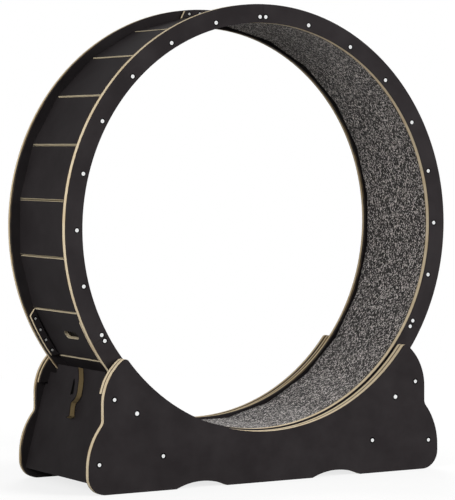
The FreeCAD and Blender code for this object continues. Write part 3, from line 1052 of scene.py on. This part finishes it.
@dataclass
class Wheel:
    """The two rings, their treads, joint plates and screws."""

    finishes: Finishes
    joint_angles_deg: Sequence[float] = (90.0, 210.0, 330.0)
    arc_names: Sequence[str] = ("left", "bottom", "right")     # each starts at its joint's angle
    tread_count: int = 24
    at_joint_deg: float = 1.0          # a tread this near to a joint lies on it
    joint_pair_deg: float = 0.91       # the two screws at a butt joint, either side of it
    plate_screw_steps_deg: Sequence[float] = (-4.9, -1.6, 1.6, 4.9)
    head_sink: float = 0.1 * MM        # screw heads below the board's face
    ring_head: float = 4.3 * MM
    ring_screw_length: float = 45 * MM
    plate_head: float = 2.9 * MM
    plate_screw_length: float = 18 * MM
    tread_arris_mm: float = 0.9
    tread_flat_share: float = 0.75     # a tread's eased arrises show bare board

    def __post_init__(self) -> None:
        """Reads the wheel's sizes from the frame."""
        spin = next(joint for joint in frame["joints"] if joint["name"] == "wheel_spin")
        self.axis_height = spin["pos_m"][2]
        flat_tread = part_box("tread_07")
        self.tread_inner = -flat_tread[1].x
        self.tread_middle = -(flat_tread[0].x + flat_tread[1].x) / 2
        self.tread_end = flat_tread[1].y

    def polar(self, radius: float, angle_deg: float, y: float) -> Vector:
        """Point at a radius and angle about the wheel's axis."""
        angle = math.radians(angle_deg)
        return Vector((radius * math.cos(angle), y, self.axis_height + radius * math.sin(angle)))

    def middle_radius(self, node: str) -> float:
        """Finds the radius half way across a node.

        Args:
            node: the node's name.

        Returns:
            The middle between the least and greatest distance of its corners from the axis.
        """
        corners = np.array([vertex.co for vertex in frame["nodes"][node].data.vertices])
        reach = np.hypot(corners[:, 0], corners[:, 2] - self.axis_height)
        return (float(reach.min()) + float(reach.max())) / 2

    def ring_seats(self, side: Side) -> dict[float, Seat]:
        """Finds every screw through a ring into a tread's end.

        Args:
            side: which ring.

        Returns:
            Each screw's angle in degrees, with its seat.
        """
        face = abs(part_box(f"{side.word}_ring_arc_bottom")[0 if side is Side.FRONT else 1].y)
        angles: list[float] = []
        for index in range(self.tread_count):
            angle = self.joint_angles_deg[0] + 360 / self.tread_count * index
            if any(abs(angle - joint) % 360 < self.at_joint_deg for joint in self.joint_angles_deg):
                angles += [angle - self.joint_pair_deg, angle + self.joint_pair_deg]
            else:
                angles.append(angle)
        y = side.value * (face - self.head_sink)
        outward = Y_AXIS * side.value
        return {angle: Seat(self.polar(self.tread_middle, angle, y), outward) for angle in angles}

    def plate_seats(self, side: Side) -> list[Seat]:
        """Finds the four screws through each joint plate, driven from the inside of the wheel.

        Args:
            side: which ring the plates are on.

        Returns:
            The seats of all three plates.
        """
        node = f"{side.word}_joint_plates"
        radius = self.middle_radius(node)
        face = abs(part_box(node)[1 if side is Side.FRONT else 0].y)
        y = side.value * (face + self.head_sink)
        return [
            Seat(self.polar(radius, joint + step, y), Y_AXIS * -side.value)
            for joint in self.joint_angles_deg for step in self.plate_screw_steps_deg
        ]

    def build(self) -> None:
        """Builds everything that turns with the wheel, apart from its carpet."""
        ring_screw = WoodScrew(self.ring_head, self.ring_screw_length, self.finishes.zinc)
        plate_screw = WoodScrew(
            self.plate_head, self.plate_screw_length, self.finishes.dull_zinc,
        )
        arc_deg = 360 / len(self.arc_names)
        for side in Side:
            seats = self.ring_seats(side)
            for start, name in zip(self.joint_angles_deg, self.arc_names):
                held = [seat for angle, seat in seats.items() if (angle - start) % 360 < arc_deg]
                Board(
                    f"{side.word}_ring_arc_{name}", Body.WHEEL, self.finishes,
                    edge=self.finishes.edge_of(side), seats=held, head_radius=self.ring_head,
                ).build()
            plate_seats = self.plate_seats(side)
            Board(
                f"{side.word}_joint_plates", Body.WHEEL, self.finishes, seats=plate_seats,
                head_radius=self.plate_head,
            ).build()
            ring_screw.driven(f"ring_screws_{side.word}", list(seats.values()), Body.WHEEL)
            plate_screw.driven(f"plate_screws_{side.word}", plate_seats, Body.WHEEL)
        for node in sorted(frame["nodes"]):
            if node.startswith("tread_") or node == "lock_tread":
                # The lock slot's walls are painted black inside as its shade.
                Board(
                    node, Body.WHEEL, self.finishes, arris_mm=self.tread_arris_mm,
                    edge=self.finishes.sanded_edge, flat_share=self.tread_flat_share,
                    slot_wall=self.finishes.slot_shade_edge if node == "lock_tread" else None,
                ).build()


@dataclass
class Carpet:
    """The strip of loop-pile carpet inside the wheel, laid on the treads with one butt seam."""

    wheel: Wheel
    finishes: Finishes
    thickness: float = 3.0 * MM
    side_gap: float = 0.5 * MM
    seam_gap: float = 1.0 * MM
    seam_after: str = "lock_tread"     # the seam is in the middle of the next tread
    step: float = 4.0 * MM
    bend: float = 14.0 * MM            # the carpet rounds each corner over this length
    bend_samples: int = 9
    pile: float = 0.35 * MM            # unevenness of the loops
    pile_size_mm: float = 7.0
    edge_roll: float = 1.2 * MM        # how far the pile drops at the cut sides
    edge_width: float = 5.0 * MM
    smooth_deg: float = 60.0

    def centre_line(self) -> tuple[np.ndarray, np.ndarray]:
        """Places along the strip's glued face.

        Returns:
            The length run so far, and the (x, z) of each place, with its corners rounded.
        """
        count = self.wheel.tread_count
        half_turn = math.pi / count
        pitch = 2 * self.wheel.tread_inner * math.tan(half_turn)
        total = count * pitch - self.seam_gap
        run = np.linspace(0, total, round(total / self.step) + 1)
        low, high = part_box(self.seam_after)
        middle = (low + high) / 2
        start = math.atan2(middle.z - self.wheel.axis_height, middle.x) + 2 * half_turn

        def on_treads(length: np.ndarray) -> np.ndarray:
            """Finds places on the treads' inner faces.

            Args:
                length: how far each is from the seam, along the strip.

            Returns:
                The (x, z) of each.
            """
            from_middle = length + self.seam_gap / 2 + pitch / 2
            flat = np.floor(from_middle / pitch)
            offset = from_middle - flat * pitch - pitch / 2
            angle = start + flat * 2 * half_turn
            apothem = self.wheel.tread_inner
            x = apothem * np.cos(angle) - offset * np.sin(angle)
            z = apothem * np.sin(angle) + offset * np.cos(angle)
            return np.stack([x, z + self.wheel.axis_height], axis=1)

        spread = np.linspace(-self.bend / 2, self.bend / 2, self.bend_samples)
        line = np.mean([on_treads(run + shift) for shift in spread], axis=0)
        for end, from_end in ((0, run), (-1, total - run)):
            pull = np.clip(1 - from_end / self.bend, 0, 1)[:, None]
            line -= (line[[end]] - on_treads(run[[end]])) * pull
        return run, line

    def build(self) -> bpy.types.Object:
        """Lays the strip as a closed slab with an uneven pile.

        Returns:
            The carpet.
        """
        run, line = self.centre_line()
        tangent = np.gradient(line, axis=0)
        tangent /= np.linalg.norm(tangent, axis=1)[:, None]
        inward = np.stack([-tangent[:, 1], tangent[:, 0]], axis=1)
        half = self.wheel.tread_end - self.side_gap
        across = np.linspace(-half, half, round(2 * half / self.step) + 1)
        rows, columns = len(run), len(across)
        from_side = half - np.abs(across)
        roll = self.edge_roll * np.clip(1 - from_side / self.edge_width, 0, 1) ** 2
        points: list[Vector] = []
        for row in range(rows):
            for column in range(columns):
                place = Vector((run[row], across[column], 0)) / (self.pile_size_mm * MM)
                height = self.thickness - self.pile + self.pile * noise.noise(place) - roll[column]
                x, z = line[row] + inward[row] * height
                points.append(Vector((x, across[column], z)))
        points += [Vector((line[row][0], y, line[row][1])) for row in range(rows) for y in across]
        mesh = mesh_of("carpet_strip", [Solid(points, self.slab_faces(rows, columns))])
        self.unroll(mesh, run, across)
        for polygon in mesh.polygons:
            glued = all(corner >= rows * columns for corner in polygon.vertices)
            polygon.material_index = 1 if glued else 0
        piece = new_piece(
            "carpet_strip", mesh, [self.finishes.carpet, self.finishes.backing],
            Body.WHEEL.value, ["carpet_lining"], self.smooth_deg,
        )
        return piece

    def slab_faces(self, rows: int, columns: int) -> list[tuple[int, ...]]:
        """Joins a grid of pile corners and one of glued corners to a closed slab.

        Args:
            rows: corners along the strip.
            columns: corners across it.

        Returns:
            Faces of the pile, of the glued side and of the four cut sides.
        """
        under = rows * columns

        def quads(corner: np.ndarray) -> list[tuple[int, ...]]:
            """Faces between the corners of a grid."""
            ring = [corner[:-1, :-1], corner[1:, :-1], corner[1:, 1:], corner[:-1, 1:]]
            return [tuple(map(int, face)) for face in np.stack(ring, axis=-1).reshape(-1, 4)]

        top = np.arange(under).reshape(rows, columns)
        faces = quads(top) + quads(top[::-1] + under)
        for border in (top[0], top[::-1, 0], top[-1, ::-1], top[:, -1]):
            faces += quads(np.stack([border + under, border]))
        return faces

    def unroll(self, mesh: bpy.types.Mesh, run: np.ndarray, across: np.ndarray) -> None:
        """Writes UVs in metres along and across the strip.

        Args:
            mesh: the slab.
            run: length along the strip of each row of corners.
            across: place across it of each column.
        """
        grid = np.stack(np.meshgrid(run, across, indexing="ij"), axis=-1).reshape(-1, 2)
        flat = np.concatenate([grid, grid])
        corner_of = np.zeros(len(mesh.loops), np.int32)
        mesh.loops.foreach_get("vertex_index", corner_of)
        layer = mesh.uv_layers.new(name="flat")
        layer.data.foreach_set("uv", flat[corner_of].astype(np.float32).ravel())


# ---------------------------------------------------------------- stand


@dataclass
class Stand:
    """Panels, guide rims, end panels, battens and their screws."""

    finishes: Finishes
    screw_head: float = 4.1 * MM
    screw_length: float = 46 * MM
    seat_clearance_mm: float = 3.0     # the panels' counterbores are wider than the rings'
    batten_arris_mm: float = 1.0
    batten_corner_deg: float = 60.0

    def screw_seats(self) -> list[Seat]:
        """Finds the head of every screw in the CAD node.

        Returns:
            The seats, in order of place.
        """
        seats = []
        for points in islands("stand_screws"):
            low, high = points.min(0), points.max(0)
            outer = high[1] if low[1] > 0 else low[1]
            place = Vector(((low[0] + high[0]) / 2, outer, (low[2] + high[2]) / 2))
            seats.append(Seat(place, Y_AXIS * math.copysign(1, outer)))
        return seats

    def axle_seats(self) -> list[Seat]:
        """Finds both ends of each axle, which lie in counterbores like the screws'.

        Returns:
            The seats of the four ends.
        """
        seats = []
        for end in ("left", "right"):
            low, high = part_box(f"roller_axle_{end}")
            for y in (low.y, high.y):
                place = Vector(((low.x + high.x) / 2, y, (low.z + high.z) / 2))
                seats.append(Seat(place, Y_AXIS * math.copysign(1, y)))
        return seats

    def build(self) -> None:
        """Builds everything that stands still, apart from the axles and their bearings."""
        screws = self.screw_seats()
        seats = screws + self.axle_seats()
        for side in Side:
            # At the back, the boards' edges are darkened as painted shade.
            edge = self.finishes.edge_of(side)
            Board(
                f"stand_{side.word}_panel", Body.STAND, self.finishes, edge=edge,
                seats=[seat for seat in seats if seat.place.y * side.value > 0],
                head_radius=self.screw_head, seat_clearance_mm=self.seat_clearance_mm,
            ).build()
            Board(f"{side.word}_guide_rim", Body.STAND, self.finishes, edge=edge).build()
        for end in ("left", "right"):
            # The end panels' edges are stained black; in their stopper slot the same black is
            # painted shade.
            Board(
                f"end_panel_{end}", Body.STAND, self.finishes, edge=self.finishes.stain_and_shade_edge,
            ).build()
            self.build_batten(f"cross_batten_{end}")
        screw = WoodScrew(self.screw_head, self.screw_length, self.finishes.zinc)
        screw.driven("stand_screws_driven", screws, Body.STAND, ["stand_screws"])

    def build_batten(self, node: str) -> None:
        """Planes a batten: its CAD shape with eased arrises.

        Args:
            node: the batten's CAD node.
        """
        name = node + "_planed"
        work = welded(node)
        make_whole(work)
        ease(work, self.batten_arris_mm, self.batten_corner_deg)
        mesh = bpy.data.meshes.new(name)
        work.to_mesh(mesh)
        work.free()
        new_piece(name, mesh, [self.finishes.pine], Body.STAND.value, [node])


@dataclass
class RunningGear:
    """Axles, rollers and ball bearings."""

    finishes: Finishes
    axle_chamfer: float = 0.8 * MM
    axle_segments: int = 32
    shoulder: float = 3.0 * MM         # radius between a roller's tread and its sides
    shoulder_step_deg: int = 15
    dish: float = 2.0 * MM             # depth of the recess in a roller's sides
    dish_wall: float = 4.0 * MM        # of tyre and hub left either side of the recess
    roller_segments: int = 72
    roller_smooth_deg: float = 40.0
    shield_depth: float = 0.5 * MM
    race_wall: float = 2.2 * MM
    bearing_segments: int = 48

    def build(self) -> None:
        """Builds both axles, the four rollers and their bearings."""
        for end in ("left", "right"):
            self.build_axle(f"roller_axle_{end}")
            for side in Side:
                self.build_roller(f"roller_{side.word}_{end}")
        self.build_bearings()

    def build_axle(self, node: str) -> None:
        """Cuts a drawn rod to length and chamfers its ends.

        Args:
            node: the axle's CAD node.
        """
        low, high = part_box(node)
        radius, half = (high.x - low.x) / 2, (high.y - low.y) / 2
        edge = self.axle_chamfer
        profile = [
            (0, -half), (radius - edge, -half), (radius, edge - half), (radius, half - edge),
            (radius - edge, half), (0, half),
        ]
        rod = turned(profile, self.axle_segments).placed(facing((low + high) / 2, Y_AXIS))
        name = node + "_rod"
        new_piece(
            name, mesh_of(name, [rod]), [self.finishes.plated_rod], Body.STAND.value,
            [node],
        )

    def build_roller(self, node: str) -> None:
        """Moulds a roller with round shoulders and dished sides.

        Args:
            node: the roller's CAD node, which is also its body.
        """
        low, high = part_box(node)
        centre = (low + high) / 2
        corners = np.array([vertex.co for vertex in frame["nodes"][node].data.vertices])
        bore = float(np.hypot(corners[:, 0] - centre.x, corners[:, 2] - centre.z).min())
        radius, half = (high.x - low.x) / 2, (high.y - low.y) / 2
        inner, outer = bore + self.dish_wall, radius - self.dish_wall - self.shoulder / 2
        dished = [
            (bore, half), (inner, half), (inner + self.dish, half - self.dish),
            (outer - self.dish, half - self.dish), (outer, half),
        ]
        turns = [math.radians(turn) for turn in range(0, 91, self.shoulder_step_deg)]
        rounded = [
            (radius - self.shoulder * (1 - math.sin(turn)),
             half - self.shoulder * (1 - math.cos(turn)))
            for turn in turns
        ]
        tyre = turned(mirrored(dished + rounded), self.roller_segments, hollow=True)
        name = node + "_tyre"
        new_piece(
            name, mesh_of(name, [tyre.placed(facing(centre, Y_AXIS))]), [self.finishes.rubber],
            node, [node], self.roller_smooth_deg,
        )

    def build_bearings(self) -> None:
        """Turns four bearings: an outer race, a shield set back from it, and an inner race."""
        rings = []
        for points in islands("roller_bearings"):
            low, high = points.min(0), points.max(0)
            centre = Vector((low + high) / 2)
            radial = np.hypot(points[:, 0] - centre.x, points[:, 2] - centre.z)
            bore, outside = float(radial.min()), float(radial.max())
            half = float(high[1] - low[1]) / 2
            back = half - self.shield_depth
            inner, outer = bore + self.race_wall, outside - self.race_wall
            top = [
                (bore, half), (inner, half), (inner, back), (outer, back), (outer, half),
                (outside, half),
            ]
            ring = turned(mirrored(top), self.bearing_segments, hollow=True)
            rings.append(ring.placed(facing(centre, Y_AXIS)))
        name = "roller_bearings_ground"
        new_piece(
            name, mesh_of(name, rings), [self.finishes.bearing_steel], Body.STAND.value,
            ["roller_bearings"],
        )


@dataclass
class Stopper:
    """Handle, slider and keeper, sawn from the same board and sanded."""

    finishes: Finishes
    handle_arris_mm: float = 1.4
    arris_mm: float = 0.6

    def build(self) -> None:
        """Builds the three boards that slide together."""
        for node in ("stopper_handle", "stopper_slider", "stopper_keeper"):
            # Their sides take an olive brown that is darkened as painted shade.
            Board(
                node, Body.STOPPER, self.finishes, Slot.BARE_BOARD,
                self.handle_arris_mm if node == "stopper_handle" else self.arris_mm,
                self.finishes.shaded_stopper_edge,
            ).build()


# ---------------------------------------------------------------- studio


@dataclass(frozen=True)
class Lamp:
    """A square soft light."""

    name: str
    place: Place
    size: float
    watts: float
    aim: Place = (0.0, 0.0, 0.5)
    spread_deg: float = 180.0          # how wide its grid lets it shine

    def hang(self) -> None:
        """Adds the light, which bright metal doesn't mirror: it mirrors the white room."""
        data = bpy.data.lights.new(self.name, "AREA")
        data.size = self.size
        data.energy = self.watts
        data.spread = math.radians(self.spread_deg)
        light = bpy.data.objects.new(self.name, data)
        light.location = self.place
        sight = Vector(self.aim) - Vector(self.place)
        light.rotation_euler = sight.to_track_quat("-Z", "Y").to_euler()
        light.visible_camera = False
        light.visible_glossy = False
        bpy.context.scene.collection.objects.link(light)


@dataclass
class Studio:
    """Pale floor, soft light and the camera."""

    # The camera, from the photograph's perspective at its 455 x 500 pixels.
    camera_place: Place = (-2.8779, -4.8391, 0.7615)
    camera_turn_deg: Place = (87.507, 0.081, -30.66)       # tilt, roll and heading
    focal_px: float = 2442.0
    frame_height_px: float = 500.0
    sensor_mm: float = 36.0
    lamps: Sequence[Lamp] = (
        Lamp("key", (-2.1, -0.8, 1.0), 0.9, 6.2, (-0.5, 0, 0.55), 75),
        Lamp("front", (2.8, -4.0, 1.6), 2.6, 335),
        Lamp("back", (1.8, 4.4, 1.6), 2.6, 240),
        Lamp("top", (0.4, 0.6, 4.2), 2.4, 22),
    )
    sky_light: float = 0.3
    floor_size: float = 60.0
    floor_drop: float = 0.2 * MM           # below the stand's feet, so that no faces coincide
    floor_colour: str = "#f4f4f3"
    floor_bounce_colour: str = "#747473"   # what the floor gives back to the object's underside
    floor_roughness: float = 0.9
    shadow_share: float = 0.22             # how much of the floor near the object takes shade
    fade_start: float = 0.6
    fade_end: float = 2.4

    def build(self) -> None:
        """Sets up everything around the object."""
        self.build_camera()
        self.build_world()
        self.build_floor()
        for lamp in self.lamps:
            lamp.hang()
        bpy.context.scene.view_settings.view_transform = "Standard"

    def build_camera(self) -> None:
        """Places the camera as the photograph's was."""
        data = bpy.data.cameras.new("camera")
        data.sensor_width = self.sensor_mm
        data.lens = self.focal_px / self.frame_height_px * self.sensor_mm
        camera = bpy.data.objects.new("camera", data)
        camera.location = self.camera_place
        camera.rotation_euler = [math.radians(turn) for turn in self.camera_turn_deg]
        bpy.context.scene.collection.objects.link(camera)
        bpy.context.scene.camera = camera

    def seen(self, tree: bpy.types.NodeTree) -> bpy.types.NodeSocket:
        """Tells the rays that show a background: camera, glossy and transmission rays.

        Args:
            tree: the node tree that asks.

        Returns:
            A socket that is 1 for them and 0 for the rest.
        """
        path = add_node(tree, "ShaderNodeLightPath")
        either = add_node(tree, "ShaderNodeMath", {
            0: path.outputs["Is Camera Ray"], 1: path.outputs["Is Glossy Ray"],
        }, operation="MAXIMUM")
        every = add_node(tree, "ShaderNodeMath", {
            0: either.outputs[0], 1: path.outputs["Is Transmission Ray"],
        }, operation="MAXIMUM")
        return every.outputs[0]

    def build_world(self) -> None:
        """Makes a room that is white where it is seen, and an even soft light elsewhere."""
        world = bpy.data.worlds.new("studio")
        world.use_nodes = True
        tree = world.node_tree
        tree.nodes.clear()
        strength = add_node(tree, "ShaderNodeMapRange", {
            "Value": self.seen(tree), "To Min": self.sky_light,
        })
        light = add_node(tree, "ShaderNodeBackground", {
            "Color": linear("#ffffff"), "Strength": strength.outputs["Result"],
        })
        add_node(tree, "ShaderNodeOutputWorld", {"Surface": light.outputs["Background"]})
        bpy.context.scene.world = world

    def build_floor(self) -> None:
        """Lays a pale floor that takes the object's shade close by and fades to white."""
        half, height = self.floor_size / 2, -self.floor_drop
        corners = [(x * half, y * half, height) for x, y in ((-1, -1), (1, -1), (1, 1), (-1, 1))]
        mesh = bpy.data.meshes.new("floor")
        mesh.from_pydata(corners, [], [(0, 1, 2, 3)])
        mesh.materials.append(self.floor_material())
        floor = bpy.data.objects.new("floor", mesh)
        bpy.context.scene.collection.objects.link(floor)

    def floor_material(self) -> bpy.types.Material:
        """Mixes pale paper near the object with plain white further out.

        Returns:
            The material; rays that only carry light find it greyer and never white.
        """
        material, tree = empty_material("studio_floor")
        seen = self.seen(tree)
        colour = add_node(tree, "ShaderNodeMix", {
            0: seen, 6: linear(self.floor_bounce_colour), 7: linear(self.floor_colour),
        }, data_type="RGBA")
        paper = add_node(tree, "ShaderNodeBsdfPrincipled", {
            "Base Color": colour.outputs[2], "Roughness": self.floor_roughness,
            "Specular IOR Level": 0.0,
        })
        place = add_node(tree, "ShaderNodeTexCoord").outputs["Object"]
        distance = add_node(tree, "ShaderNodeVectorMath", {0: place}, operation="LENGTH")
        fade = add_node(tree, "ShaderNodeMapRange", {
            "Value": distance.outputs["Value"], "From Min": self.fade_start,
            "From Max": self.fade_end, "To Min": 1 - self.shadow_share, "To Max": 1.0,
        }, interpolation_type="SMOOTHSTEP")
        share = add_node(
            tree, "ShaderNodeMath", {0: fade.outputs["Result"], 1: seen}, operation="MULTIPLY",
        )
        white = add_node(tree, "ShaderNodeEmission", {"Color": linear("#ffffff"), "Strength": 1.0})
        mixed = add_node(tree, "ShaderNodeMixShader", {
            0: share.outputs[0], 1: paper.outputs["BSDF"], 2: white.outputs["Emission"],
        })
        add_node(tree, "ShaderNodeOutputMaterial", {"Surface": mixed.outputs["Shader"]})
        return material


def main() -> None:
    """Builds the sub-assemblies in order."""
    logging.basicConfig(level=logging.INFO, format="%(name)s: %(message)s")
    Studio().build()
    finishes = Finishes()
    wheel = Wheel(finishes)
    wheel.build()
    Carpet(wheel, finishes).build()
    Stand(finishes).build()
    RunningGear(finishes).build()
    Stopper(finishes).build()


if __name__ == "__main__":
    main()
